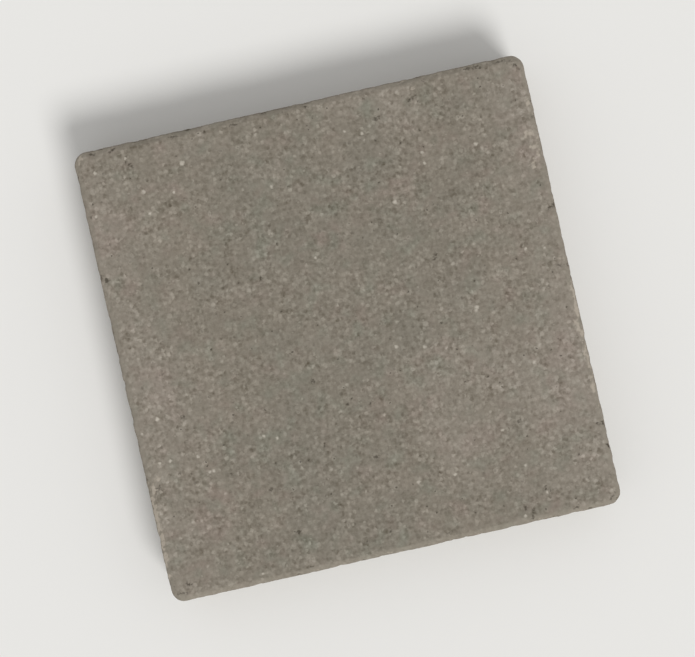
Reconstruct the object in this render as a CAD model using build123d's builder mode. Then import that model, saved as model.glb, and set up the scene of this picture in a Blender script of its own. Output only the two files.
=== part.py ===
from build123d import *

import os

# Concrete paving stone
# One square stone, pressed in a single pour in a steel mould, all in millimetres.
# The origin is the middle of the bedding face, the flat underside that lies on the sand.
# +Z is up, towards the walking face, and the four joint faces look along X and Y.

# Laying grid
grid_length = 300.0  # middle to middle of two stones laid in a row along X
grid_width = 300.0  # the same along Y
joint_width = 2.0  # gap between two stones, filled with sand as laid

# Stone
stone_thickness = 45.0  # bedding face to walking face
corner_radius = 9.0  # upright corners, rounded so that the mould empties cleanly

# Bevel round the walking face, which keeps its arris from chipping
bevel_width = 4.0  # inwards from the joint face, seen from above
bevel_drop = 1.6  # down from the walking face

# A stone is its square of the grid, less one joint
stone_length = grid_length - joint_width
stone_width = grid_width - joint_width

with BuildPart() as paving_stone:
    # Plan of the mould: a square with rounded corners
    with BuildSketch(Plane.XY):
        RectangleRounded(stone_length, stone_width, corner_radius)
    # Straight sides, because the stone is pushed out of the mould downwards
    extrude(amount=stone_thickness)
    # The stamp that presses the top leaves a shallow bevel, unbroken round the corners
    walking_face = paving_stone.faces().sort_by(Axis.Z)[-1]
    chamfer(walking_face.edges(), length=bevel_width, length2=bevel_drop, reference=walking_face)

paving_stone.part.label = "paving_stone"

os.makedirs("parts", exist_ok=True)
export_step(paving_stone.part, "parts/paving_stone.step")
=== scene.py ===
# %% [markdown]
# # A concrete paving stone
# The object is one square paving stone, pressed in a steel mould from a fairly dry, sandy concrete.
# The frame already holds it as a plain solid of the right size. This lesson keeps that size and makes
# the skin of the stone: the bevel that the press leaves, the worn arris, the sand in the cement and
# the small faults of the casting.

# %% Load the frame
import math
import random

import bmesh
import bpy
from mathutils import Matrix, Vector, kdtree, noise


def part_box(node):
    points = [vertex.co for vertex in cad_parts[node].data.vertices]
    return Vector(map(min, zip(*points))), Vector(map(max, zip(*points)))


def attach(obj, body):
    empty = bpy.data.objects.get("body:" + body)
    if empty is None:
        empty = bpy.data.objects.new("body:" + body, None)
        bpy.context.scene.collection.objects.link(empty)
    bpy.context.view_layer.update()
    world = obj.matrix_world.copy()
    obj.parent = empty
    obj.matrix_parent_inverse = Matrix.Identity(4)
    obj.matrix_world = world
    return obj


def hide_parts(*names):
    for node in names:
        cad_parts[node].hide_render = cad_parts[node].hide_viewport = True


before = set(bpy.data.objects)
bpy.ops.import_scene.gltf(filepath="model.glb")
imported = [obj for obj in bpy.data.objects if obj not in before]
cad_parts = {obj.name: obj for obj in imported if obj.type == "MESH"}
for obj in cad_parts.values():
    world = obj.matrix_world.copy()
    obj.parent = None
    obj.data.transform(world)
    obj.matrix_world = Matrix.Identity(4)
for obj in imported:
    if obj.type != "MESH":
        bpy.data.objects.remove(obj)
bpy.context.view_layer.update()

low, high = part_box("paving_stone")
print("stone, in metres:", [round(size, 4) for size in high - low])

# %% [markdown]
# ## Sizes
# Blender works in metres, but a mason thinks in millimetres, so `MM` turns one into the other.
# The side and the thickness come from the frame. The corner, the bevel and the wear are the
# sizes of the real stone, and everything below is worked out from them.

# %% Sizes of the stone
MM = 0.001
HALF_SIDE = high.x
THICKNESS = high.z
CORNER_RADIUS = 9 * MM
BEVEL_WIDTH = 4.0 * MM
BEVEL_DROP = 1.6 * MM
ARRIS_WEAR = 0.3 * MM  # how far the sharp arrises are rubbed back
WEAR_REACH = 0.9 * MM  # how far from the arris the rubbing is felt
CORNER_START = HALF_SIDE - CORNER_RADIUS
print("half side", HALF_SIDE, "corner starts at", round(CORNER_START, 4))

# %% [markdown]
# ## A ruler for the mesh
# A paving stone is nearly flat, so the mesh has to be fine enough to carry a sandy skin all over,
# and finer still at the arris, where the bevel is only a few millimetres wide. Equal squares would
# waste faces in the middle. A ruler whose first steps are short and then grow gives each place
# what it needs, and the whole stone stays under the limit for triangles.

# %% Ruler
FIRST_STEP = 0.45 * MM
STEP_GROWTH = 1.09
WIDEST_STEP = 1.36 * MM


def ruler(widest, length):
    """Distances from an edge, short steps first, that end exactly at length."""
    steps = []
    step = FIRST_STEP
    while step < widest:
        steps.append(step)
        step *= STEP_GROWTH
    even_steps = round((length - sum(steps)) / widest)
    even = (length - sum(steps)) / even_steps
    places = [0.0]
    for step in steps + [even] * even_steps:
        places.append(places[-1] + step)
    return places


insets = ruler(WIDEST_STEP, HALF_SIDE)
LINES = 2 * (len(insets) - 1)
print("lines across the walking face:", LINES + 1)

# %% [markdown]
# ## The plan: a square grid bent to round corners
# The mould has rounded corners. Rings of a square grid can be bent to them: the straight part of
# a ring stays, and the part past the start of the corner is wound on an arc. The ring's own radius
# shrinks on the way in, as an offset curve's does, so that the bevel keeps its width round the
# corner. Rings further in than the corner radius stay square.

# %% Plan of the mould


def on_ring(x, y, inset):
    """Bends a point of the square grid onto the stone's outline, moved in by inset."""
    reach, along = max(abs(x), abs(y)), min(abs(x), abs(y))
    across = HALF_SIDE - inset
    if along > CORNER_START:
        turn = (along - CORNER_START) / (reach - CORNER_START) * math.pi / 4
        across = CORNER_START + (CORNER_RADIUS - inset) * math.cos(turn)
        along = CORNER_START + (CORNER_RADIUS - inset) * math.sin(turn)
    if abs(x) >= abs(y):
        return math.copysign(across, x), math.copysign(along, y)
    return math.copysign(along, x), math.copysign(across, y)


def line_place(number):
    """Where a line of the grid crosses the stone, counted from its left side."""
    if number <= LINES // 2:
        return insets[number] - HALF_SIDE
    return HALF_SIDE - insets[LINES - number]


print("middle of a rounded corner:", [round(place, 4) for place in on_ring(HALF_SIDE, HALF_SIDE, 0)])

# %% [markdown]
# ## The section: bevel and worn arris
# Seen from the side, the walking face runs flat to the bevel, falls to the arris and turns down the
# joint face. Fresh from the mould both turns are crisp, and handling and laying rub them round.
# A bevel modifier would round them evenly. Writing the section as a formula keeps the size of
# the stone exact, and the ring of vertices at the arris can be shared by both faces.

# %% Section of the arris
CREASE_SOFTNESS = 0.22 * MM
CREASE_END = 3 * BEVEL_WIDTH  # further in, the walking face is level


def worn(distance):
    """How far the skin is rubbed back at this distance from a sharp arris."""
    return ARRIS_WEAR * max(0.0, 1 - distance / WEAR_REACH) ** 2


def bevel_fall(inset):
    """How far the walking face has dropped at this distance in from the outline."""
    straight = BEVEL_DROP * (1 - inset / BEVEL_WIDTH)
    soft = (straight + math.hypot(straight, CREASE_SOFTNESS)) / 2
    return soft if inset < CREASE_END else 0.0


for inset in range(6):
    print("inset", inset, "mm, fall", round(bevel_fall(inset * MM) / MM, 3), "mm")

# %% [markdown]
# ## A map for the finish
# The faces get their places on the texture map while they are made, because only then is it
# known which face belongs to which side. Unwrapping afterwards would need seams marked by hand. The
# walking face fills most of the map, and the bedding face gets the corner that the joint faces leave.

# %% Layout of the texture map
MAP_MARGIN = 0.006
MAP_PER_METRE = (1 - 4 * MAP_MARGIN) / (2 * HALF_SIDE + 2 * THICKNESS)
TOP_ON_MAP = 2 * HALF_SIDE * MAP_PER_METRE
SIDE_ON_MAP = THICKNESS * MAP_PER_METRE
UNDER_ON_MAP = 1 - TOP_ON_MAP - 3 * MAP_MARGIN


def map_walking(x, y):
    """The walking face lies in the lower left corner of the map."""
    return MAP_MARGIN + (x + HALF_SIDE) * MAP_PER_METRE, MAP_MARGIN + (y + HALF_SIDE) * MAP_PER_METRE


def map_bedding(x, y):
    """The bedding face lies in the upper right corner, at a smaller scale."""
    start = 2 * MAP_MARGIN + TOP_ON_MAP
    scale = UNDER_ON_MAP / (2 * HALF_SIDE)
    return start + (x + HALF_SIDE) * scale, start + (y + HALF_SIDE) * scale


def map_joint(side, along, depth):
    """Two joint faces lie above the walking face on the map and two beside it."""
    run = MAP_MARGIN + (along + HALF_SIDE) * MAP_PER_METRE
    start = 2 * MAP_MARGIN + TOP_ON_MAP + (side % 2) * (SIDE_ON_MAP + MAP_MARGIN)
    rise = start + depth * MAP_PER_METRE
    return (run, rise) if side < 2 else (rise, run)


print("the walking face takes", round(TOP_ON_MAP, 3), "of the map's width")

# %% [markdown]
# ## Weaving the stone
# The walking face is a square grid that is bent to the plan and dropped along the section. `bmesh`
# makes it vertex by vertex, because a subdivided plane can't have the uneven steps of the ruler.

# %% Walking face
weave = bmesh.new()
stone_map = weave.loops.layers.uv.new("OFBake")


def lay_face(corners, places):
    """One face, with a place on the texture map for each corner."""
    face = weave.faces.new(corners)
    face.smooth = True
    for loop, place in zip(face.loops, places):
        loop[stone_map].uv = place


walking = {}
for column in range(LINES + 1):
    for row in range(LINES + 1):
        x, y = line_place(column), line_place(row)
        inset = HALF_SIDE - max(abs(x), abs(y))
        z = THICKNESS - bevel_fall(inset) - worn(inset)
        walking[column, row] = weave.verts.new((*on_ring(x, y, inset + worn(inset)), z))

for column in range(LINES):
    for row in range(LINES):
        square = [(column, row), (column + 1, row), (column + 1, row + 1), (column, row + 1)]
        corners = [walking[spot] for spot in square]
        lay_face(corners, [map_walking(*corner.co.xy) for corner in corners])
print("walking face:", len(weave.faces), "faces")

# %% [markdown]
# ### Joint faces
# The four joint faces hang from the outer ring of the walking face, in rows. The first row shares
# the ring's vertices, so the arris has no gap, and the ruler makes the rows finest at the arris.

# %% Joint faces
WIDEST_ROW = 1.9 * MM
ARRIS_HEIGHT = THICKNESS - BEVEL_DROP

outline = [(place, 0) for place in range(LINES)]
outline += [(LINES, place) for place in range(LINES)]
outline += [(LINES - place, LINES) for place in range(LINES)]
outline += [(0, LINES - place) for place in range(LINES)]

depths = ruler(WIDEST_ROW, ARRIS_HEIGHT - WEAR_REACH) + [ARRIS_HEIGHT]
rings = [[walking[spot] for spot in outline]]
for depth in depths[1:]:
    inset = worn(depth) + worn(ARRIS_HEIGHT - depth)
    ring = []
    for column, row in outline:
        place = on_ring(line_place(column), line_place(row), inset)
        ring.append(weave.verts.new((*place, ARRIS_HEIGHT - depth)))
    rings.append(ring)

for level in range(len(depths) - 1):
    upper, lower = rings[level], rings[level + 1]
    for place in range(len(outline)):
        side, step = divmod(place, LINES)
        after = (place + 1) % len(outline)
        near, far = line_place(step), line_place(step + 1)
        lay_face(
            [upper[place], lower[place], lower[after], upper[after]],
            [
                map_joint(side, near, depths[level]),
                map_joint(side, near, depths[level + 1]),
                map_joint(side, far, depths[level + 1]),
                map_joint(side, far, depths[level]),
            ],
        )
print("with the joint faces:", len(weave.faces), "faces")

# %% [markdown]
# ### Bedding face
# The bedding face closes the stone below. Its grid takes only every second line, which saves three
# faces in four where nobody looks. Where it meets the finer rows of the joint faces, its outermost
# faces get a fifth corner, so that no seam stays open.

# %% Bedding face
bedding = dict(zip(outline, rings[-1]))
for column in range(2, LINES, 2):
    for row in range(2, LINES, 2):
        x, y = line_place(column), line_place(row)
        bedding[column, row] = weave.verts.new((*on_ring(x, y, HALF_SIDE - max(abs(x), abs(y))), 0))

for column in range(0, LINES, 2):
    for row in range(0, LINES, 2):
        square = [(column, row), (column, row + 2), (column + 2, row + 2), (column + 2, row)]
        corners = []
        for start, end in zip(square, square[1:] + square[:1]):
            middle = ((start[0] + end[0]) // 2, (start[1] + end[1]) // 2)
            corners.append(bedding[start])
            if middle in bedding:
                corners.append(bedding[middle])
        lay_face(corners, [map_bedding(*corner.co.xy) for corner in corners])

triangles = sum(len(face.verts) - 2 for face in weave.faces)
print("whole stone:", len(weave.verts), "vertices,", triangles, "triangles")

# %% [markdown]
# ## The skin of pressed concrete
# Every fault of the skin goes inwards: sand stands where the cement shrank, cement tears at the edge
# of the stamp, and corners break off. So the relief is one depth for each vertex, measured against
# the vertex's own normal, and the stone never grows past its size. Blender's displace modifier can
# do this with one texture. Here several kinds of wear meet, each with its own place and grain,
# and `mathutils.noise` lets them be added up in a few short functions. Its vector noise starts from
# the clock unless it is given a seed, and with a seed the stone comes out the same in every run.

# %% Where a vertex is
NOISE_SEED = 5
CORNER_BLEND = 12 * MM
noise.seed_set(NOISE_SEED)


def share(value, start, end):
    """0 before start, 1 past end and a smooth ramp between them."""
    ramp = min(1.0, max(0.0, (value - start) / (end - start)))
    return ramp * ramp * (3 - 2 * ramp)


def inset_of(place):
    """How far a place is in from the outline of the stone, seen from above."""
    x, y = abs(place.x), abs(place.y)
    if x > CORNER_START and y > CORNER_START:
        return CORNER_RADIUS - math.hypot(x - CORNER_START, y - CORNER_START)
    return HALF_SIDE - max(x, y)


def cornerness(place):
    """0 along the sides and 1 on the rounded corners."""
    return share(min(abs(place.x), abs(place.y)), CORNER_START - CORNER_BLEND, CORNER_START)


def arris_distance(place):
    """How far a place is from the arris, where the bevel meets the joint face."""
    return math.hypot(inset_of(place), max(0.0, ARRIS_HEIGHT - place.z))


def rough_noise(place, size, octaves=2):
    """Noise with finer noise on it, from about -1 to 1, with lumps of about this size."""
    return noise.fractal(place / size, 1.0, 2.0, octaves)


FACE_MIDDLE = Vector((0, 0, THICKNESS))
FACE_UP = Vector((0, 0, 1))
print("from the middle of the face to the arris:", round(arris_distance(FACE_MIDDLE), 4))

# %% [markdown]
# ### Sandy skin
# The stamp leaves the walking face finest. The joint faces slid along the mould, which drags
# upright streaks into them and leaves them a little wavy, and in patches they stay open, with holes
# between the grains. The bedding face is the coarsest, because the mix only lay on a board there.
# A sculpting brush would do for one stone. Noise of a stated size does it for every face at once.

# %% Sandy skin
WALKING_ROUGHNESS = 1.0
JOINT_ROUGHNESS = 1.9
BEDDING_ROUGHNESS = 2.8
ROUGHENING_REACH = 12 * MM  # the joint faces are fully rough this far under the arris
LUMP_SIZE = 4.2 * MM
LUMP_DEPTH_MM = 0.05
GRIT_SIZE = 1.6 * MM
GRIT_DEPTH_MM = 0.055
DRAG_LENGTH = 40 * MM
DRAG_WIDTH = 1.5 * MM
DRAG_DEPTH_MM = 0.16
WAVE_WIDTH = 6 * MM
WAVE_DEPTH_MM = 0.5
WAVE_LOST_AT_CORNERS = 0.8
OPEN_SIZE = 22 * MM
OPEN_START = 3 * MM  # the skin begins to open this far under the arris
OPEN_FULL = 14 * MM
HOLE_SIZE = 2.8 * MM
HOLE_DEPTH_MM = 0.5


def openness(place, normal):
    """0 where the skin is closed and 1 where it is open, in patches of the joint faces and below."""
    patches = share(rough_noise(place, OPEN_SIZE), -0.25, 0.35)
    return patches * (1 - max(0.0, normal.z)) * share(ARRIS_HEIGHT - place.z, OPEN_START, OPEN_FULL)


def upright_noise(place, width):
    """Noise drawn out into upright streaks of this width."""
    return noise.noise(Vector((place.x / width, place.y / width, place.z / DRAG_LENGTH)))


def sandy_depth(place, normal):
    """Depth of the sandy skin, in metres."""
    beside = 1 - abs(normal.z)
    below = max(0.0, -normal.z)
    coarseness = WALKING_ROUGHNESS
    under_arris = share(ARRIS_HEIGHT - place.z, 0, ROUGHENING_REACH)
    coarseness += beside * (JOINT_ROUGHNESS - WALKING_ROUGHNESS) * under_arris
    coarseness += below * (BEDDING_ROUGHNESS - WALKING_ROUGHNESS)
    lumps = 0.5 + 0.5 * rough_noise(place, LUMP_SIZE)
    grit = 0.5 + 0.5 * noise.noise(place / GRIT_SIZE)
    depth = coarseness * (LUMP_DEPTH_MM * lumps + GRIT_DEPTH_MM * grit)
    depth += beside * DRAG_DEPTH_MM * share(upright_noise(place, DRAG_WIDTH), 0.0, 0.6)
    wave = share(upright_noise(place, WAVE_WIDTH), -0.1, 0.6)
    depth += beside * WAVE_DEPTH_MM * wave * (1 - WAVE_LOST_AT_CORNERS * cornerness(place))
    depth += HOLE_DEPTH_MM * openness(place, normal) * share(noise.noise(place / HOLE_SIZE), 0.05, 0.6)
    return max(0.0, depth) * MM


print("sand in the middle of the face:", round(sandy_depth(FACE_MIDDLE, FACE_UP) / MM, 3), "mm deep")

# %% [markdown]
# ### Hollows of the walking face
# A pressed face is flat to a fraction of a millimetre. Under a low light the fraction shows, as broad
# hollows about as wide as a hand. One smooth noise at that width is all it takes.

# %% Broad hollows
HOLLOW_SIZE = 65 * MM
HOLLOW_DEPTH = 0.16 * MM


def hollow_depth(place, normal):
    """Depth of the hollows, on the walking face and the bedding face."""
    wave = 0.5 + 0.5 * noise.noise(place / HOLLOW_SIZE)
    return HOLLOW_DEPTH * wave * abs(normal.z)


print("hollow in the middle of the face:", round(hollow_depth(FACE_MIDDLE, FACE_UP) / MM, 3), "mm deep")

# %% [markdown]
# ### Lines drawn on the rim
# Tears and rubbed places are short lines near the rim of the walking face, and this stone has them
# in known places. A list gives each line's two ends and its strength, as a pencil would draw it
# on the plan. It is shorter than a mask painted by hand, and easy to change.

# %% Lines on the rim
RIM_REACH = 18 * MM
LINE_FOOT = 1 * MM  # the lines end this far under the arris


def drawn(lines_mm):
    """Lines of the plan, in metres: start, end and strength."""
    return [
        (Vector((x1, y1)) * MM, Vector((x2, y2)) * MM, strength)
        for x1, y1, x2, y2, strength in lines_mm
    ]


def on_lines(place, lines, half_width):
    """0 away from the lines and a line's own strength in the middle of it."""
    if inset_of(place) > RIM_REACH or place.z < ARRIS_HEIGHT - LINE_FOOT:
        return 0.0
    strongest = 0.0
    for start, end, strength in lines:
        along = (place.xy - start).dot(end - start) / (end - start).length_squared
        nearest = start.lerp(end, min(1.0, max(0.0, along)))
        strongest = max(strongest, strength * (1 - (place.xy - nearest).length / half_width))
    return strongest


# %% [markdown]
# ### Tears
# The stamp that presses the bevel sticks a little when it lifts, and tears the skin: mostly along the
# inner line of the bevel, longest at the far right corner, and here and there straight across it.
# Noise bends the lines and makes them ragged. Their dark is partly soil and partly a painted shadow
# along the inner line of the bevel.

# %% Tears
TEARS = drawn([
    (-137.5, 146.3, -134.5, 146.0, 0.8), (-125, 144.8, -121, 147, 0.9), (-85, 145.6, -78, 145.2, 0.65),
    (-64.5, 144.8, -61.5, 143.8, 0.7), (-45, 144.6, -41, 144.2, 0.9), (-10, 145, -7, 143.2, 0.5),
    (4, 145.6, 6, 145, 0.9), (42.5, 142.6, 44.5, 141.4, 0.6), (71, 134.6, 75.5, 136.6, 1.1),
    (82.5, 145.2, 85.5, 144.8, 0.5), (109.5, 147.2, 113, 145.4, 0.6), (113, 145.4, 122, 145, 0.6),
    (113, 147.2, 125, 146.4, 0.5), (132.5, 146.6, 138, 146.2, 0.6), (138, 146.2, 142.6, 144.2, 0.55),
    (142.6, 144.2, 144.6, 141, 0.6), (144.6, 141, 146, 138, 0.45), (-115.5, 136.5, -112, 132.5, 1.2),
    (149, -96.2, 143.8, -95.2, 1.5), (149, -110.5, 146.5, -110, 1.2), (149, 49.5, 144, 47, 0.9),
    (149, 108.5, 145.5, 107, 0.9), (145, 8.5, 141, 10.5, 0.8), (137.8, -77.5, 135.6, -75.5, 0.6),
    (-143.5, -74, -140.5, -72.6, 0.9), (-147.5, 68.5, -146, 67.8, 0.6),
    (-145.5, -138, -144.5, -143, 0.4), (-143, -142.5, -138.5, -143.5, 0.5),
    (-137.8, -137.2, -135.4, -138.6, 1.3), (-59.5, -145.2, -56, -144.6, 0.5),
    (89.5, -146, 90.8, -140, 0.7), (33.5, -143.2, 36.5, -142.8, 0.6), (118, -145.6, 119.4, -145.2, 1.3),
    (141, -145, 145.5, -140.5, 0.6),
])
TEAR_HALF_WIDTH = 1.5 * MM
TEAR_DEPTH = 0.35 * MM
TEAR_BEND = 0.6 * MM
TEAR_BEND_LENGTH = 4 * MM
TEAR_GRAIN = 2.2 * MM


def tear(place):
    """0 where the skin is whole and 1 in a tear, whose groove is darkened, partly as painted shadow."""
    bent = place + TEAR_BEND * noise.noise_vector(place / TEAR_BEND_LENGTH)
    ragged = 0.95 + 0.5 * noise.noise(place / TEAR_GRAIN)
    return on_lines(bent, TEARS, TEAR_HALF_WIDTH) * max(0.0, ragged)


print("tears:", len(TEARS))

# %% [markdown]
# ### Rubbed places
# Feet and neighbouring stones have rubbed the arris, and the fresh cement is pale there. The left
# and right sides have most of it, in blotches along the rim. They are drawn as the tears are, but
# wider and bent further, and they take no depth away.

# %% Rubbed places
RUBS = drawn([
    (144.5, 98.5, 143.6, 95.5, 0.7), (145.6, 93, 145, 82, 0.6), (142.4, 88.5, 144.6, 86, 1.0),
    (142.4, 77.5, 141.4, 75.8, 1.0), (140.6, 98.4, 139.2, 96.6, 0.7), (145.6, 120, 146, 112, 0.5),
    (144.4, 12.6, 143.6, 11.4, 0.8), (146.8, -3, 147.4, -24, 1.0), (144.4, -28, 147, -37, 0.85),
    (147, -41.5, 146.6, -44.5, 1.2), (146.6, -48, 147.8, -58, 1.0), (147, -66, 146.2, -75, 0.9),
    (-147, -98, -147.2, -118, 1.9), (-147.4, -118, -147.6, -131, 0.9), (-147.2, -82, -147.4, -98, 1.1),
    (-147, -80.5, -145, -72.5, 1.7), (-144.4, -71.5, -140, -66.8, 0.8), (-140, -66.8, -132, -65.6, 0.45),
    (-146.2, 142.5, -144.2, 145.2, 1.0), (73, 142.2, 74.4, 141.6, 0.9),
])
RUB_HALF_WIDTH = 2.4 * MM
RUB_BLOT = 2.4 * MM
RUB_BEND = 1.5 * MM


def rub(place):
    """1 where the rim is rubbed pale."""
    bent = place + RUB_BEND * noise.noise_vector(place / RUB_BLOT)
    blotches = 1.05 + 2.2 * noise.noise(place / RUB_BLOT)
    return on_lines(bent, RUBS, RUB_HALF_WIDTH) * max(0.0, blotches)


print("rubbed places:", len(RUBS))

# %% [markdown]
# ### Crumbling of the arris
# The arris is the weakest place. It is never quite straight: it wavers slowly and is short of a grain
# here and there. Close to the arris the depth is greater, so the wear opens outwards as it does on
# a real stone. Here and there a bite goes deeper.

# %% Crumbling of the arris
CRUMBLE_REACH = 3.4 * MM
WAVER_DEPTH = 0.85 * MM
WAVER_LENGTH = 8 * MM
WAVER_LOST_AT_CORNERS = 0.6
CRUMB_DEPTH = 0.3 * MM
CRUMB_SIZE = 2.4 * MM
BITE_DEPTH = 1.1 * MM
BITE_LENGTH = 5 * MM
BITE_GRAIN = 1.8 * MM
BITE_START = 0.35  # a lower start gives more bites
BITE_FULL = 0.85


def by_the_arris(place):
    """1 on the arris and 0 where the crumbling ends."""
    return max(0.0, 1 - arris_distance(place) / CRUMBLE_REACH)


def crumble_depth(place):
    """Depth of the slow waver and of the missing grains."""
    near = by_the_arris(place)
    if near == 0:
        return 0.0
    waver = WAVER_DEPTH * share(rough_noise(place, WAVER_LENGTH), -0.35, 0.75)
    waver *= 1 - WAVER_LOST_AT_CORNERS * cornerness(place)
    crumb = CRUMB_DEPTH * (0.5 + 0.5 * noise.noise(place / CRUMB_SIZE))
    return near * (waver + crumb)


def bite(place):
    """0 on a whole arris and 1 in the middle of a bite."""
    near = by_the_arris(place)
    if near == 0:
        return 0.0
    rough = noise.noise(place / BITE_LENGTH) + 0.45 * noise.noise(place / BITE_GRAIN)
    return near * share(rough, BITE_START, BITE_FULL)


far_arris = Vector((0, HALF_SIDE, ARRIS_HEIGHT))
print("middle of the far arris:", round(crumble_depth(far_arris) / MM, 2), "mm crumbled away")

# %% [markdown]
# ### Chips
# A knock breaks a chip out of the arris, with a rough floor that holds soil and is darkened further
# as painted shade of the notch. Only a few are large enough to see, so each is listed. Cutting them
# with boolean solids would leave clean edges, and a depth with noise in it breaks as concrete does.

# %% Chips
CHIPS_MM = [
    (149, -96, 2.2), (149, -110.5, 2.2), (149, 10, 2.4), (149, 48, 2.0),
    (-149, 67, 2.0), (-149, -66, 2.0), (-22, 149, 2.8), (-72, 149, 2.0),
    (104, -149, 2.2), (127, -149, 2.2), (-66, -149, 2.0), (147, -147, 3.4),
]  # x, y and reach
CHIP_GRAIN = 1.6 * MM
CHIP_LIMIT = 1.4  # places further off than this many reaches are passed over


def chip(place):
    """1 in the middle of a chip broken out of the arris."""
    deepest = 0.0
    for x, y, reach in CHIPS_MM:
        away = (place - Vector((x * MM, y * MM, ARRIS_HEIGHT))).length / (reach * MM)
        if away < CHIP_LIMIT:
            away += 0.5 * noise.noise(place / CHIP_GRAIN)
            deepest = max(deepest, share(1 - away, 0, 0.6))
    return deepest


print("chips:", len(CHIPS_MM))

# %% [markdown]
# ### Lower arris
# The mix is least pressed at the foot of the mould, so the lower arris stays ragged. It is cut
# upwards from the bed, and the stone still rests on its flat underside.

# %% Lower arris
LOWER_REACH = 3.5 * MM
LOWER_DEPTH = 0.9 * MM
LOWER_GRAIN = 6 * MM


def lower_wear(place):
    """Depth of the ragged lower arris."""
    near = max(0.0, 1 - math.hypot(inset_of(place), place.z) / LOWER_REACH)
    if near == 0:
        return 0.0
    ragged = 0.3 + 0.7 * rough_noise(place, LOWER_GRAIN, 3)
    return LOWER_DEPTH * near * max(0.0, ragged)


far_foot = Vector((0, HALF_SIDE, 0))
print("middle of the far lower arris:", round(lower_wear(far_foot) / MM, 2), "mm worn away")

# %% [markdown]
# ### Pits and blow holes
# Air and missing grains leave small round pits: few and fine in the walking face, more and deeper
# in the joint faces and below. They are scattered with a fixed seed. A few pits of the walking face
# are listed one by one, where the stone shows dark spots.

# %% Pits
PIT_SEED = 11
WALKING_PITS = 34
JOINT_PITS = 46  # on each joint face
BEDDING_PITS = 260
SEEN_PIT_SLOPE = 0.25  # depth as a share of the radius
SEEN_PITS_MM = [
    (-144.6, 64.6, 2.3), (47.5, 128, 1.9), (50, 128.4, 1.7), (65.5, 34, 1.8), (65, 31.5, 1.9),
    (-47.5, 44, 1.7), (-48, 41, 1.5), (52, 28, 1.4), (-116, -32, 1.9), (-29, -28, 2.0),
    (-84, -38, 1.7), (-94, -75, 1.7), (-60, -121, 2.1), (-71, -90, 1.9), (-31, -70, 1.7),
    (86.5, -138.6, 1.9), (105, -131, 1.5), (102, -128.5, 1.9), (-91, 60, 1.6), (0, -85, 2.0),
    (95, -83, 2.0), (122, 90, 1.3), (8, 138, 1.5),
]  # x, y and radius

chance = random.Random(PIT_SEED)
pits = []
for x, y, radius in SEEN_PITS_MM:
    pits.append((Vector((x * MM, y * MM, THICKNESS)), radius * MM, SEEN_PIT_SLOPE * radius * MM))


def scatter_pit(place, radii_mm, depths_mm):
    """Adds a pit at this place, with its radius and depth left to chance."""
    pits.append((place, chance.uniform(*radii_mm) * MM, chance.uniform(*depths_mm) * MM))


def anywhere(margin, height):
    """A place left to chance on the walking face or the bedding face."""
    spread = HALF_SIDE - margin
    return Vector((chance.uniform(-spread, spread), chance.uniform(-spread, spread), height))


for number in range(WALKING_PITS):
    scatter_pit(anywhere(6 * MM, THICKNESS), radii_mm=(0.9, 1.5), depths_mm=(0.15, 0.4))
for turn in range(4):
    for number in range(JOINT_PITS):
        x, y = chance.uniform(-CORNER_START, CORNER_START), -HALF_SIDE
        x, y = [(x, y), (-y, x), (-x, -y), (y, -x)][turn]
        place = Vector((x, y, chance.uniform(1, 40) * MM))
        scatter_pit(place, radii_mm=(1.0, 2.6), depths_mm=(0.3, 1.1))
for number in range(BEDDING_PITS):
    scatter_pit(anywhere(3 * MM, 0), radii_mm=(1.6, 4.0), depths_mm=(0.3, 1.0))
print("pits:", len(pits))

# %% [markdown]
# ### Patches
# Concrete dries unevenly. This stone is palest along its left and right sides and in a patch on the
# near right, damp greenish patches lie across the middle, and a few places are faintly pink. A
# painter would use a brush with vertex paint. A soft band for the sides and short lists of round
# patches do the same in code, and noise frays their edges.

# %% Patches
SIDE_BAND_START = 0.62 * HALF_SIDE
SIDE_BAND_STRENGTH = 0.4
PALE_PATCHES_MM = [
    (-150, -5, 60, 0.4), (-110, -40, 40, 0.15), (-150, 78, 46, 0.25), (-150, -45, 36, 0.25),
    (-150, -105, 32, 0.2), (152, -60, 75, 0.48), (152, 140, 44, 0.4), (80, 0, 34, 0.2),
    (92, -44, 34, 0.4), (52, -42, 32, 0.45), (48, -78, 30, 0.35), (104, -80, 38, 0.25),
    (60, -96, 34, 0.35), (105, -125, 34, 0.25), (-75, 150, 36, 0.35), (20, 150, 34, 0.25),
    (60, 150, 40, 0.5),
]  # x, y, radius and how pale the middle is
DAMP_PATCHES_MM = [
    (-48, -72, 42, 1.0), (-78, -66, 28, 0.8), (-45, -105, 34, 0.9), (-18, -88, 28, 0.6),
    (-48, -132, 26, 0.8), (-46, -40, 24, 0.6), (-76, -130, 16, 0.5), (-77, 46, 22, 0.8),
    (-48, 42, 20, 0.7), (-44, 64, 18, 0.9), (-46, 80, 22, 0.5), (41, 106, 24, 0.9), (30, 98, 18, 0.8),
    (44, 134, 18, 0.7), (102, 133, 18, 0.7), (-70, 126, 18, 0.8), (-45, 110, 18, 0.6),
    (-14, 120, 14, 0.6), (48, 58, 24, 0.7), (86, 62, 14, 0.6), (26, 48, 14, 0.6), (50, 18, 20, 0.6),
    (76, 12, 22, 0.7), (41, -12, 24, 1.0), (12, -14, 20, 0.7), (12, -30, 14, 0.6), (-45, 0, 14, 0.7),
    (-14, -2, 14, 0.6), (94, 92, 14, 0.6), (6, 84, 14, 0.6), (86, -134, 16, 0.8), (95, -80, 12, 0.7),
    (14, -78, 12, 0.6), (8, -60, 12, 0.5), (-30, 95, 60, 0.5), (-10, 50, 70, 0.5), (60, 45, 50, 0.3),
    (-10, -20, 60, 0.4), (-10, -135, 44, 0.6), (85, 85, 40, 0.3),
]
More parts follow.
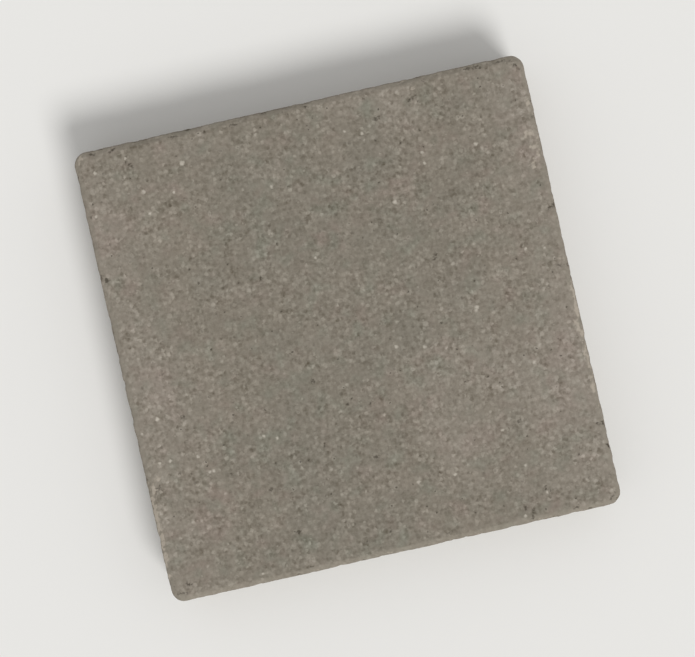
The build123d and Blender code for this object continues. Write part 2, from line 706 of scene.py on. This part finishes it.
PINK_PATCHES_MM = [
    (128, -77, 20, 0.8), (134, -46, 22, 0.8), (146, 82, 16, 0.7), (-143, 98, 18, 0.7), (-126, 96, 12, 0.5),
    (0, 58, 12, 0.9), (-125, -4, 20, 0.6), (-117, -102, 16, 0.6), (-103, -92, 12, 0.6), (66, -88, 18, 0.6),
    (146, -24, 14, 0.5), (51, 81, 10, 0.6), (10, 62, 10, 0.4), (136, 104, 12, 0.3),
]
FRAY_SIZE = 16 * MM
FRAY_REACH = 12 * MM
FINE_FRAY_SIZE = 5 * MM
FINE_FRAY_REACH = 7 * MM
PATCH_SLOPE = 0.8  # a patch has its full strength this share of the way to its middle


def patchwork(place, patches_mm):
    """0 outside the patches and up to 1 inside them. Where patches overlap, they add up."""
    frayed = place + FRAY_REACH * noise.noise_vector(place / FRAY_SIZE)
    frayed += FINE_FRAY_REACH * noise.noise_vector(place / FINE_FRAY_SIZE)
    bare = 1.0
    for x, y, radius, strength in patches_mm:
        cover = 1 - math.hypot(frayed.x - x * MM, frayed.y - y * MM) / (radius * MM)
        if cover > 0:
            bare *= 1 - strength * share(cover, 0.0, PATCH_SLOPE)
    return 1 - bare


def paleness(place):
    """How pale the stone is: a soft band along two sides, and the patches."""
    frayed = abs(place.x) + FRAY_REACH * noise.noise(place / FRAY_SIZE)
    band = SIDE_BAND_STRENGTH * share(frayed, SIDE_BAND_START, HALF_SIDE)
    return 1 - (1 - band) * (1 - patchwork(place, PALE_PATCHES_MM))


print("patches:", [len(patches) for patches in (PALE_PATCHES_MM, DAMP_PATCHES_MM, PINK_PATCHES_MM)])

# %% [markdown]
# ### Soil on the joint faces
# The joints of a laid stone fill with sand and dark soil. Brushed off, it leaves a brown stain on the
# joint faces, strongest under the arris, with a torn lower edge. It has no depth of its own.

# %% Soil on the joint faces
STAIN_LOW = 12 * MM
STAIN_HIGH = 40 * MM
STAIN_BLOT = 14 * MM
STAIN_EDGE = 14 * MM  # how far the torn edge strays up and down
STAIN_SPOT = 4 * MM


def stain(place, normal):
    """How brown the earth of the joints has left a joint face."""
    edge = STAIN_EDGE * rough_noise(place, STAIN_BLOT, 3)
    blots = 0.75 + 0.5 * noise.noise(place / STAIN_SPOT)
    beside = share(1 - abs(normal.z), 0.3, 0.9)
    return min(1.0, beside * blots * share(place.z + edge, STAIN_LOW, STAIN_HIGH))


print("stain under the far arris:", round(stain(far_arris, Vector((0, 1, 0))), 2))

# %% [markdown]
# ### Carving the skin
# All the depths are worked out on the smooth stone first and only then cut, so that no fault is
# measured on another. Some numbers are kept for each vertex and go on to the finish: the darkening
# of tears and chips, partly soil and partly painted shade, and of pits, `rim`, where the stamp has
# smoothed the bevel, `fresh`, where the arris has broken or is rubbed, the three kinds of patches,
# `stain` and `open`.

# %% Carve the skin
MARKS = ("soil_and_painted_shade", "rim", "fresh", "pale", "damp", "pink", "stain", "open")
FULL_FACE_PIT = 0.5 * MM  # a pit of the walking face that is this deep is darkened fully
FULL_SIDE_PIT = 1.6 * MM  # and this is how deep one of another face has to be
# the dark of the tears is partly soil and partly painted shadow of the bevel's inner line
TEAR_SOIL_AND_SHADE = 1.15
MOST_TEAR_SOIL_AND_SHADE = 0.75
# a chip's dark floor is partly soil and partly painted shade of the notch
CHIP_SOIL_AND_SHADE = 0.55
CHIP_FRESHNESS = 0.6
RIM_EDGE = 0.8 * MM

layers = {name: weave.verts.layers.float.new(name) for name in MARKS}
weave.normal_update()
weave.verts.ensure_lookup_table()
weave.verts.index_update()

pit_depth = [0.0] * len(weave.verts)
finder = kdtree.KDTree(len(weave.verts))
for vertex in weave.verts:
    finder.insert(vertex.co, vertex.index)
finder.balance()
for middle, radius, depth in pits:
    for place, index, distance in finder.find_range(middle, radius):
        pit_depth[index] = max(pit_depth[index], depth * (1 - (distance / radius) ** 2))

moves = []
for vertex in weave.verts:
    place, normal = vertex.co, vertex.normal
    torn_and_shaded, bitten, pitted, chipped = tear(place), bite(place), pit_depth[vertex.index], chip(place)
    depth = sandy_depth(place, normal) + hollow_depth(place, normal) + pitted
    knocked = TEAR_DEPTH * torn_and_shaded + BITE_DEPTH * max(bitten, chipped)
    depth += knocked + crumble_depth(place) + lower_wear(place)
    on_top = normal.z > 0.5
    # pits are darkened in colour by their depth
    pit_darkening = pitted / (FULL_FACE_PIT if on_top else FULL_SIDE_PIT)
    marks = {
        # the darkening of tears and chips is partly soil and partly painted shade, and pits are darkened
        # too
        "soil_and_painted_shade": min(1.0, min(MOST_TEAR_SOIL_AND_SHADE, TEAR_SOIL_AND_SHADE * torn_and_shaded) + CHIP_SOIL_AND_SHADE * chipped + pit_darkening),
        "rim": share(BEVEL_WIDTH - inset_of(place), 0, RIM_EDGE) if on_top else 0.0,
        "fresh": max(bitten, CHIP_FRESHNESS * chipped, rub(place)),
        "pale": paleness(place),
        "damp": patchwork(place, DAMP_PATCHES_MM),
        "pink": patchwork(place, PINK_PATCHES_MM),
        "stain": stain(place, normal),
        "open": openness(place, normal),
    }
    for name, mark in marks.items():
        vertex[layers[name]] = mark
    moves.append(-depth * normal)
for vertex, move in zip(weave.verts, moves):
    vertex.co += move
deepest = max(move.length for move in moves)
print("deepest fault:", round(deepest / MM, 2), "mm")

# %% [markdown]
# ## The stone as an object
# The woven mesh becomes an object. It rides on the frame's only body and takes the place of the plain
# solid. The grey concrete finish made below is added to its mesh.

# %% The stone as an object
skin = bpy.data.meshes.new("paving_stone_skin")
weave.to_mesh(skin)
weave.free()
stone = bpy.data.objects.new("stone", skin)
bpy.context.collection.objects.link(stone)
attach(stone, "root")
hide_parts("paving_stone")
print("stone:", len(skin.polygons), "faces")

# %% [markdown]
# ## The finish: words for nodes
# A finish made of nodes grows long when every node takes four lines. `put` adds one node and fills
# its inputs, with numbers or with another node's output, so that a pattern reads like a recipe.
# Colours are written as they look, from 0 to 255, and `paint` turns them into the linear
# values that Blender counts in.

# %% Words for nodes
concrete = bpy.data.materials.new("pressed_concrete")
concrete.use_nodes = True
nodes, links = concrete.node_tree.nodes, concrete.node_tree.links
nodes.clear()


def put(kind, inputs=None, **settings):
    """Adds a node with its settings, and fills its inputs with numbers, colours or outputs."""
    node = nodes.new("ShaderNode" + kind)
    for name, value in settings.items():
        setattr(node, name, value)
    for name, value in (inputs or {}).items():
        if isinstance(value, bpy.types.NodeSocket):
            links.new(value, node.inputs[name])
        else:
            node.inputs[name].default_value = value
    return node


def paint(red, green, blue):
    """A colour as it looks on a screen, as linear red, green, blue and alpha."""
    values = [value / 255 for value in (red, green, blue)]
    return (*[value / 12.92 if value < 0.04 else ((value + 0.055) / 1.055) ** 2.4 for value in values], 1)


print("middle grey is", round(paint(128, 128, 128)[0], 3), "in linear light")

# %% [markdown]
# ### Words for arithmetic and colour
# Most of a finish is arithmetic on patterns. `reckon` is one step of it, `ramp` picks out the part of a
# pattern that shows, and `coat` lays one colour over another, as a glaze is laid. The mix node has
# sockets of the same names for numbers, vectors and colours, so its colours are asked for by number.

# %% Words for arithmetic and colour
UNDER_COLOUR = 6
OVER_COLOUR = 7
MIXED_COLOUR = 2


def reckon(operation, first, second=0.0, third=0.0):
    """One step of arithmetic on outputs or numbers."""
    return put("Math", {0: first, 1: second, 2: third}, operation=operation).outputs[0]


def ramp(value, start, end, low=0.0, high=1.0):
    """Stretches value so that start becomes low and end becomes high, smoothly and no further."""
    inputs = {"Value": value, "From Min": start, "From Max": end, "To Min": low, "To Max": high}
    return put("MapRange", inputs, interpolation_type="SMOOTHSTEP").outputs["Result"]


def coat(under, over, amount):
    """Lays one colour over another by amount."""
    inputs = {"Factor": amount, UNDER_COLOUR: under, OVER_COLOUR: over}
    return put("Mix", inputs, data_type="RGBA").outputs[MIXED_COLOUR]


# %% [markdown]
# ### Noise and grains
# Every pattern starts from the place in the stone, in metres, so its sizes are real ones and it goes
# through the whole body, as sand and cement do. `clouds` is soft noise, and `grains` divides space
# into cells. Crushed sand isn't round, so fine noise shakes the places that the cells are made from.

# %% Noise and grains
spot = put("TexCoord").outputs["Object"]


def noise_node(size, seed, detail, roughness):
    """Noise of this size. Each seed starts elsewhere, and the walking face lies a third up a cell."""
    start = (0.1 * seed, 0, size / 3 - THICKNESS)
    place = put("VectorMath", {0: spot, 1: start}, operation="ADD").outputs[0]
    return put("TexNoise", {"Vector": place, "Scale": 1 / size, "Detail": detail, "Roughness": roughness})


def clouds(size, seed, detail=2.0, roughness=0.5):
    """Soft noise from 0 to 1 whose blots are about this size."""
    return noise_node(size, seed, detail, roughness).outputs["Fac"]


SHAKE_SIZE = 1.5 * MM
SHAKE_REACH = 1.6 * MM
shaking = noise_node(SHAKE_SIZE, seed=1.0, detail=1.0, roughness=0.5).outputs["Color"]
shaking = put("VectorMath", {0: shaking, 1: (0.5, 0.5, 0.5)}, operation="SUBTRACT").outputs[0]
reach = (SHAKE_REACH, SHAKE_REACH, SHAKE_REACH)
shaken = put("VectorMath", {0: shaking, 1: reach, 2: spot}, operation="MULTIPLY_ADD").outputs[0]


def grains(size, where=shaken):
    """Cells of about this size: the distance from their middle and two random numbers for each."""
    cells = put("TexVoronoi", {"Vector": where, "Scale": 1 / size})
    lot = put("SeparateColor", {"Color": cells.outputs["Color"]})
    return cells.outputs["Distance"], lot.outputs[0], lot.outputs[1]


def kept(name):
    """A number that was kept for each vertex while the skin was carved."""
    return put("Attribute", attribute_name=name).outputs["Fac"]


# %% [markdown]
# ### Tone of the cement
# Grey concrete isn't one grey. The patches that were kept for each vertex shift it to a paler, a
# pinker or a darker and greener grey. Soft noise adds drier clouds and small pinkish and mossy
# blotches, with less pink and more moss where the stone is damp.

# %% Tone of the cement
CEMENT_GREY = paint(128, 121, 109)
GREEN_GREY = paint(120, 116, 105)
PALE_GREY = paint(145, 137, 126)
DRY_GREY = paint(136, 127, 115)
PINK_GREY = paint(134, 121, 111)
MOSS_GREY = paint(123, 123, 110)

DRY_CLOUD_SIZE = 24 * MM
DRY_STRENGTH = 0.5
PALE_STRENGTH = 0.94
DAMP_STRENGTH = 0.4
BLOTCH_SIZE = 12 * MM
PINK_STRENGTH = 0.52
MOSS_STRENGTH = 0.5
DAMP_TURN = 0.2  # how much less pink and more moss a damp place has
MOTTLE_SIZE = 8 * MM
MOTTLE_SWING = 0.02

dry = ramp(clouds(DRY_CLOUD_SIZE, seed=3.0, detail=3.0), 0.4, 0.7, 0.0, DRY_STRENGTH)
tone = coat(CEMENT_GREY, DRY_GREY, dry)
tone = coat(tone, PINK_GREY, kept("pink"))
tone = coat(tone, PALE_GREY, reckon("MULTIPLY", kept("pale"), PALE_STRENGTH))
tone = coat(tone, GREEN_GREY, reckon("MULTIPLY", kept("damp"), DAMP_STRENGTH))
pink_share = reckon("MULTIPLY_ADD", kept("damp"), -DAMP_TURN, PINK_STRENGTH)
moss_share = reckon("MULTIPLY_ADD", kept("damp"), DAMP_TURN, MOSS_STRENGTH)
pink_blotches = clouds(BLOTCH_SIZE, seed=11.0, detail=1.0)
moss_blotches = clouds(BLOTCH_SIZE, seed=12.0, detail=1.0)
tone = coat(tone, PINK_GREY, ramp(pink_blotches, 0.5, 0.85, 0.0, pink_share))
tone = coat(tone, MOSS_GREY, ramp(moss_blotches, 0.48, 0.85, 0.0, moss_share))
mottle = ramp(clouds(MOTTLE_SIZE, seed=2.0), 0.25, 0.75, 1 - MOTTLE_SWING, 1 + MOTTLE_SWING)
print("tone:", len(nodes), "nodes so far")

# %% [markdown]
# ### Sand
# Up close the grey falls apart into grains of sand in cement. A Voronoi pattern gives each grain
# its own random number. Most differ only a little from the cement, some are dark, and a few are
# white quartz. Because the pattern fills space, the skin cuts the grains at all heights, as it does
# in the real stone, and they come out in many sizes. Shaking the places with noise takes their
# roundness away.

# %% Sand
DUST_SIZE = 1.0 * MM
SAND_SIZE = 2.7 * MM
GRIT_GRAIN_SIZE = 5.0 * MM
FINE_SIZE = 0.8 * MM
MEDIUM_SIZE = 2.6 * MM

fine = clouds(FINE_SIZE, seed=4.0, roughness=0.7)
medium = clouds(MEDIUM_SIZE, seed=9.0, detail=1.0)
dust_edge, dust_lot, _ = grains(DUST_SIZE, spot)
sand_edge, sand_lot, sand_kind = grains(SAND_SIZE)
grit_edge, grit_lot, grit_kind = grains(GRIT_GRAIN_SIZE)
sand_body = ramp(sand_edge, 0.7, 0.36)  # 1 inside a grain and 0 at its edge
grit_body = ramp(grit_edge, 0.48, 0.28)
print("sand:", len(nodes), "nodes so far")

# %% [markdown]
# ### Shade of the grains
# Three sizes of grain and two of noise add up to one shade, which is a little stronger in some
# places than in others, as the skin is more or less worn. One sum is easier to set against the real
# stone than a stack of mixed colours, because each size has one number that says how much it shows.

# %% Shade of the grains
FINE_SWING = 0.15
DUST_SWING = 0.08
MEDIUM_SWING = 0.7
SAND_SWING = 0.44
GRIT_SWING = 0.36
DULLNESS = 1.8
DULL_MIDDLE = 0.355  # the middle of what mostly_dull gives
WEAR_SIZE = 14 * MM
WEAR_SWING = 0.38
GRAIN_TINT = (0.95, 1.0, 1.1)  # light grains are greyer than the cement and dark ones browner


def shift(shade, value, middle, strength, where=1.0):
    """Makes the shade lighter where value is above middle and darker where it is below."""
    change = reckon("MULTIPLY", reckon("SUBTRACT", value, middle), strength)
    return reckon("MULTIPLY_ADD", change, where, shade)


def mostly_dull(lot):
    """Bends a random number, so that most grains are near the cement and a few are light."""
    return reckon("POWER", lot, DULLNESS)


shade = shift(0.0, fine, 0.5, FINE_SWING)
shade = shift(shade, dust_lot, 0.5, DUST_SWING)
shade = shift(shade, medium, 0.5, MEDIUM_SWING)
shade = shift(shade, mostly_dull(sand_lot), DULL_MIDDLE, SAND_SWING, sand_body)
shade = shift(shade, mostly_dull(grit_lot), DULL_MIDDLE, GRIT_SWING, grit_body)
wear = ramp(clouds(WEAR_SIZE, seed=13.0), 0.3, 0.7, 1 - WEAR_SWING, 1 + WEAR_SWING)
shade = reckon("MULTIPLY", shade, wear)
swing = put("VectorMath", {0: tone, 1: GRAIN_TINT}, operation="MULTIPLY").outputs[0]
swing = put("VectorMath", {0: swing, 3: shade}, operation="SCALE").outputs[0]
sandy = put("VectorMath", {0: tone, 3: mottle}, operation="SCALE").outputs[0]
sandy = put("VectorMath", {0: sandy, 1: swing}, operation="ADD").outputs[0]
print("shade:", len(nodes), "nodes so far")

# %% [markdown]
# ### Light and dark grains
# A few grains stand out. The faint ones are left to chance: the sand pattern's second random number
# picks them. The bright ones that catch the eye lie where this stone has them.

# %% Light and dark grains
QUARTZ = paint(206, 199, 186)
DARK_GRAIN = paint(78, 72, 63)
QUARTZ_STRENGTH = 0.16
DARK_STRENGTH = 0.28
SEEN_STRENGTH = 0.55
FAR_OFF = 9.0  # in radii, further than any grain reaches
SEEN_QUARTZ_MM = [
    (-80.7, 127.8, 2.2), (-108.8, 115, 1.8), (-142.1, 106.2, 1.4), (48, 72.8, 1.8), (84.5, -5.0, 1.7),
    (83.5, -6.8, 1.6), (28, -18.5, 1.6), (46, -22.5, 1.6), (-132.5, -30, 1.8), (-107.8, 100.5, 1.3),
    (-59.8, -58.8, 1.5), (-68, -56, 1.5), (-104.5, -70.4, 1.3), (-107, -70.5, 1.3), (107.2, 97.8, 1.6),
    (72, 100.2, 1.5), (72, 93, 1.3), (22.8, -107, 1.6), (47, -107.2, 1.4), (-130.5, -58, 1.3),
    (-112.5, -59.2, 1.4), (123.4, 24.8, 1.2), (37, 120.5, 1.3), (26.2, 124.5, 1.2), (-89.8, 110.5, 1.1),
    (83, -86, 1.3), (92.5, -111.5, 1.4), (112.5, -48, 1.4), (-27.5, 100, 1.5), (-10, 49, 1.1),
    (-136.8, 133.8, 1.5), (135.6, 22.6, 1.1), (-137.4, -58, 1.3), (-144.6, -37, 1.4), (102.4, -131.6, 1.3),
    (85.2, -143.4, 1.3), (-88, -142.2, 1.2), (-115.6, 138.6, 1.0),
]  # x, y and radius

sand_core = ramp(sand_edge, 0.39, 0.23)
light_grain = reckon("MULTIPLY", sand_core, ramp(sand_kind, 0.9, 0.99))
dark_grain = reckon("MULTIPLY", sand_core, ramp(sand_kind, 0.1, 0.04))
sandy = coat(sandy, QUARTZ, reckon("MULTIPLY", light_grain, QUARTZ_STRENGTH))
sandy = coat(sandy, DARK_GRAIN, reckon("MULTIPLY", dark_grain, DARK_STRENGTH))
nearest = FAR_OFF
for x, y, radius in SEEN_QUARTZ_MM:
    middle = (x * MM, y * MM, THICKNESS)
    away = put("VectorMath", {0: shaken, 1: middle}, operation="DISTANCE").outputs["Value"]
    nearest = reckon("MINIMUM", reckon("DIVIDE", away, radius * MM), nearest)
sandy = coat(sandy, QUARTZ, ramp(nearest, 1.1, 0.25, 0.0, SEEN_STRENGTH))
print("bright grains placed by hand:", len(SEEN_QUARTZ_MM))

# %% [markdown]
# ### Edges, stains and painted shade
# The stamp smooths the bevel and draws fine cement to it, so the rim is a little paler and has less
# sand. Tears and chips are darkened, partly with soil and partly as painted shade, pits are darkened,
# and where the arris has crumbled, the fresh break is paler. The kept numbers are soft between two
# vertices, so fine noise frays them before they are used.

# %% Edges, stains and painted shade
RIM_GREY = paint(139, 132, 120)
FRESH = paint(177, 167, 153)
STAIN = paint(92, 80, 62)
# the dark of soil, also used as painted shade in tears, chips and pores
SOIL_AND_SHADE_COLOUR = paint(62, 56, 46)
RIM_STRENGTH = 0.5
FRESH_STRENGTH = 0.7
STAIN_STRENGTH = 0.45
SOIL_AND_SHADE_STRENGTH = 0.75
FRAY_SWING = 0.3


def frayed(name, size, seed):
    """A kept number, frayed by noise of this size."""
    return reckon("ADD", kept(name), ramp(clouds(size, seed), 0.3, 0.7, -FRAY_SWING, FRAY_SWING))


sandy = coat(sandy, RIM_GREY, reckon("MULTIPLY", kept("rim"), RIM_STRENGTH))
rubbed = ramp(frayed("fresh", size=1.8 * MM, seed=10.0), 0.15, 1.0)
sandy = coat(sandy, FRESH, reckon("MULTIPLY", rubbed, FRESH_STRENGTH))
sandy = coat(sandy, STAIN, reckon("MULTIPLY", kept("stain"), STAIN_STRENGTH))
# soil and painted shade in tears and chips, and the darkened pits
soil_and_shade_mask = ramp(frayed("soil_and_painted_shade", size=1.5 * MM, seed=6.0), 0.2, 0.9)
sandy = coat(sandy, SOIL_AND_SHADE_COLOUR, reckon("MULTIPLY", soil_and_shade_mask, SOIL_AND_SHADE_STRENGTH))
print("edges and dirt:", len(nodes), "nodes so far")

# %% [markdown]
# ### Pores
# Air leaves pinholes in the cement, and the open patches of the joint faces have wider holes between
# the grains. The sand pattern is used once more: a small part of its cells, picked by their random
# number, are holes instead of grains, lowered in the bump and painted dark as painted shade.

# %% Pores
PIN_SHARE = 0.028  # of the sand grains
HOLE_SHARE = 0.2  # of the grit grains, where the skin is open
PORE_SHADE = 0.6


def picked(kind, number, part):
    """1 for this part of the grains: those whose random number is nearest to the number."""
    return reckon("COMPARE", kind, number, part / 2)


pin = reckon("MULTIPLY", picked(sand_kind, 0.4, PIN_SHARE), ramp(sand_edge, 0.27, 0.16))
hole = reckon("MULTIPLY", picked(grit_kind, 0.5, HOLE_SHARE), ramp(grit_edge, 0.26, 0.16))
pore = reckon("MAXIMUM", pin, reckon("MULTIPLY", hole, kept("open")))
# the pores are painted dark as painted shade of the holes
colour = coat(sandy, SOIL_AND_SHADE_COLOUR, reckon("MULTIPLY", pore, PORE_SHADE))
print("pores:", len(nodes), "nodes so far")

# %% [markdown]
# ### Relief too fine for the mesh
# The mesh is too coarse for the rounding of single grains. They are left to bump, which is enough for
# so little depth: each grain is a low dome in the cement, and each pore is a hollow.

# %% Fine relief
GRAIN_RELIEF = 0.15 * MM  # the heights below are shares of it
SAND_HEIGHT = 0.6
GRIT_HEIGHT = 0.5
FINE_HEIGHT = 0.35
DUST_HEIGHT = 0.2
PORE_DEPTH = 1.6
SHEEN_SIZE = 3 * MM

height = reckon("MULTIPLY_ADD", grit_body, GRIT_HEIGHT, reckon("MULTIPLY", sand_body, SAND_HEIGHT))
height = reckon("MULTIPLY_ADD", fine, FINE_HEIGHT, height)
height = reckon("MULTIPLY_ADD", dust_edge, -DUST_HEIGHT, height)
height = reckon("MULTIPLY_ADD", pore, -PORE_DEPTH, height)
bump = put("Bump", {"Height": height, "Strength": 1.0, "Distance": GRAIN_RELIEF}).outputs["Normal"]
dull = ramp(clouds(SHEEN_SIZE, seed=7.0), 0.3, 0.7, 0.82, 0.95)
skin_shader = put("BsdfPrincipled", {"Base Color": colour, "Roughness": dull, "Normal": bump})
skin_shader.inputs["Specular IOR Level"].default_value = 0.25
put("OutputMaterial", {"Surface": skin_shader.outputs["BSDF"]})
skin.materials.append(concrete)
print("finish:", len(nodes), "nodes")

# %% [markdown]
# ## Floor
# The stone lies on a plain pale floor, wide enough to fill the picture from above.

# %% Floor
FLOOR_SIZE = 60
FLOOR_COLOUR = paint(232, 231, 228)
bpy.ops.mesh.primitive_plane_add(size=FLOOR_SIZE)
floor = bpy.context.object
floor.name = "floor"
floor_paint = bpy.data.materials.new("pale_floor")
floor_paint.use_nodes = True
floor_shader = floor_paint.node_tree.nodes["Principled BSDF"]
floor_shader.inputs["Base Color"].default_value = FLOOR_COLOUR
floor_shader.inputs["Roughness"].default_value = 0.9
floor_shader.inputs["Specular IOR Level"].default_value = 0.1
floor.data.materials.append(floor_paint)
print("floor:", FLOOR_SIZE, "m wide")

# %% [markdown]
# ## Sky
# An even white sky fills the shadows. Where the camera looks past the floor it sees the floor's own
# colour instead, so there is no horizon. `put` now fills the sky's node tree.

# %% Sky
SKY_STRENGTH = 0.55
world = bpy.data.worlds.new("soft_sky")
bpy.context.scene.world = world
world.use_nodes = True
nodes, links = world.node_tree.nodes, world.node_tree.links
nodes.clear()
ray = put("LightPath").outputs
seen = reckon("MAXIMUM", ray["Is Camera Ray"], ray["Is Glossy Ray"])
seen = reckon("MAXIMUM", seen, ray["Is Transmission Ray"])
sky = put("Background", {"Color": (1, 1, 1, 1), "Strength": SKY_STRENGTH}).outputs[0]
backdrop = put("Background", {"Color": FLOOR_COLOUR, "Strength": 1.0}).outputs[0]
either = put("MixShader", {0: seen, 1: sky, 2: backdrop})
put("OutputWorld", {"Surface": either.outputs[0]})
print("sky:", len(nodes), "nodes")

# %% [markdown]
# ## Lamp
# A wide soft lamp on the near side, a little to the right, brings out the bevel. A sun lamp with a
# wide disc gives the soft shadow of a big studio lamp, and it lights the floor evenly as far as the
# eye can see. Lamp and sky add up to the light at which a colour looks as it is written.

# %% Lamp
LAMP_SHARE = 0.45  # the rest of the light on a level face comes from the sky
LAMP_HEIGHT = math.radians(48)
LAMP_SIDE = math.radians(18)
LAMP_WIDTH = math.radians(24)
LAMP_STRENGTH = LAMP_SHARE * math.pi / math.sin(LAMP_HEIGHT)
lamp_data = bpy.data.lights.new("soft_lamp", "SUN")
lamp_data.angle = LAMP_WIDTH
lamp_data.energy = LAMP_STRENGTH
lamp = bpy.data.objects.new("soft_lamp", lamp_data)
bpy.context.collection.objects.link(lamp)
level = math.cos(LAMP_HEIGHT)
lamp.location = (level * math.sin(LAMP_SIDE), -level * math.cos(LAMP_SIDE), math.sin(LAMP_HEIGHT))
lamp.rotation_euler = (-lamp.location).to_track_quat("-Z", "Y").to_euler()
print("lamp:", round(LAMP_STRENGTH, 3), "watts per square metre")

# %% [markdown]
# ## Camera
# The picture looks straight down on the stone, from so far that its sides hardly show. The camera's
# height follows from the lens and from how much of the picture the stone's side takes.

# %% Camera
STONE_TURN = math.radians(12.8)  # the stone is seen turned this far anticlockwise
PICTURE_WIDTH = 695
SIDE_IN_PICTURE = 462  # pixels, as the width
LENS = 90
camera_data = bpy.data.cameras.new("camera")
camera_data.lens = LENS
camera = bpy.data.objects.new("camera", camera_data)
bpy.context.collection.objects.link(camera)
seen_width = 2 * HALF_SIDE * PICTURE_WIDTH / SIDE_IN_PICTURE
camera.location = (0, 0, THICKNESS + seen_width * LENS / camera_data.sensor_width)
camera.rotation_euler = (0, 0, -STONE_TURN)
bpy.context.scene.camera = camera
bpy.context.scene.view_settings.view_transform = "Standard"
print("camera height:", round(camera.location.z, 3), "m")
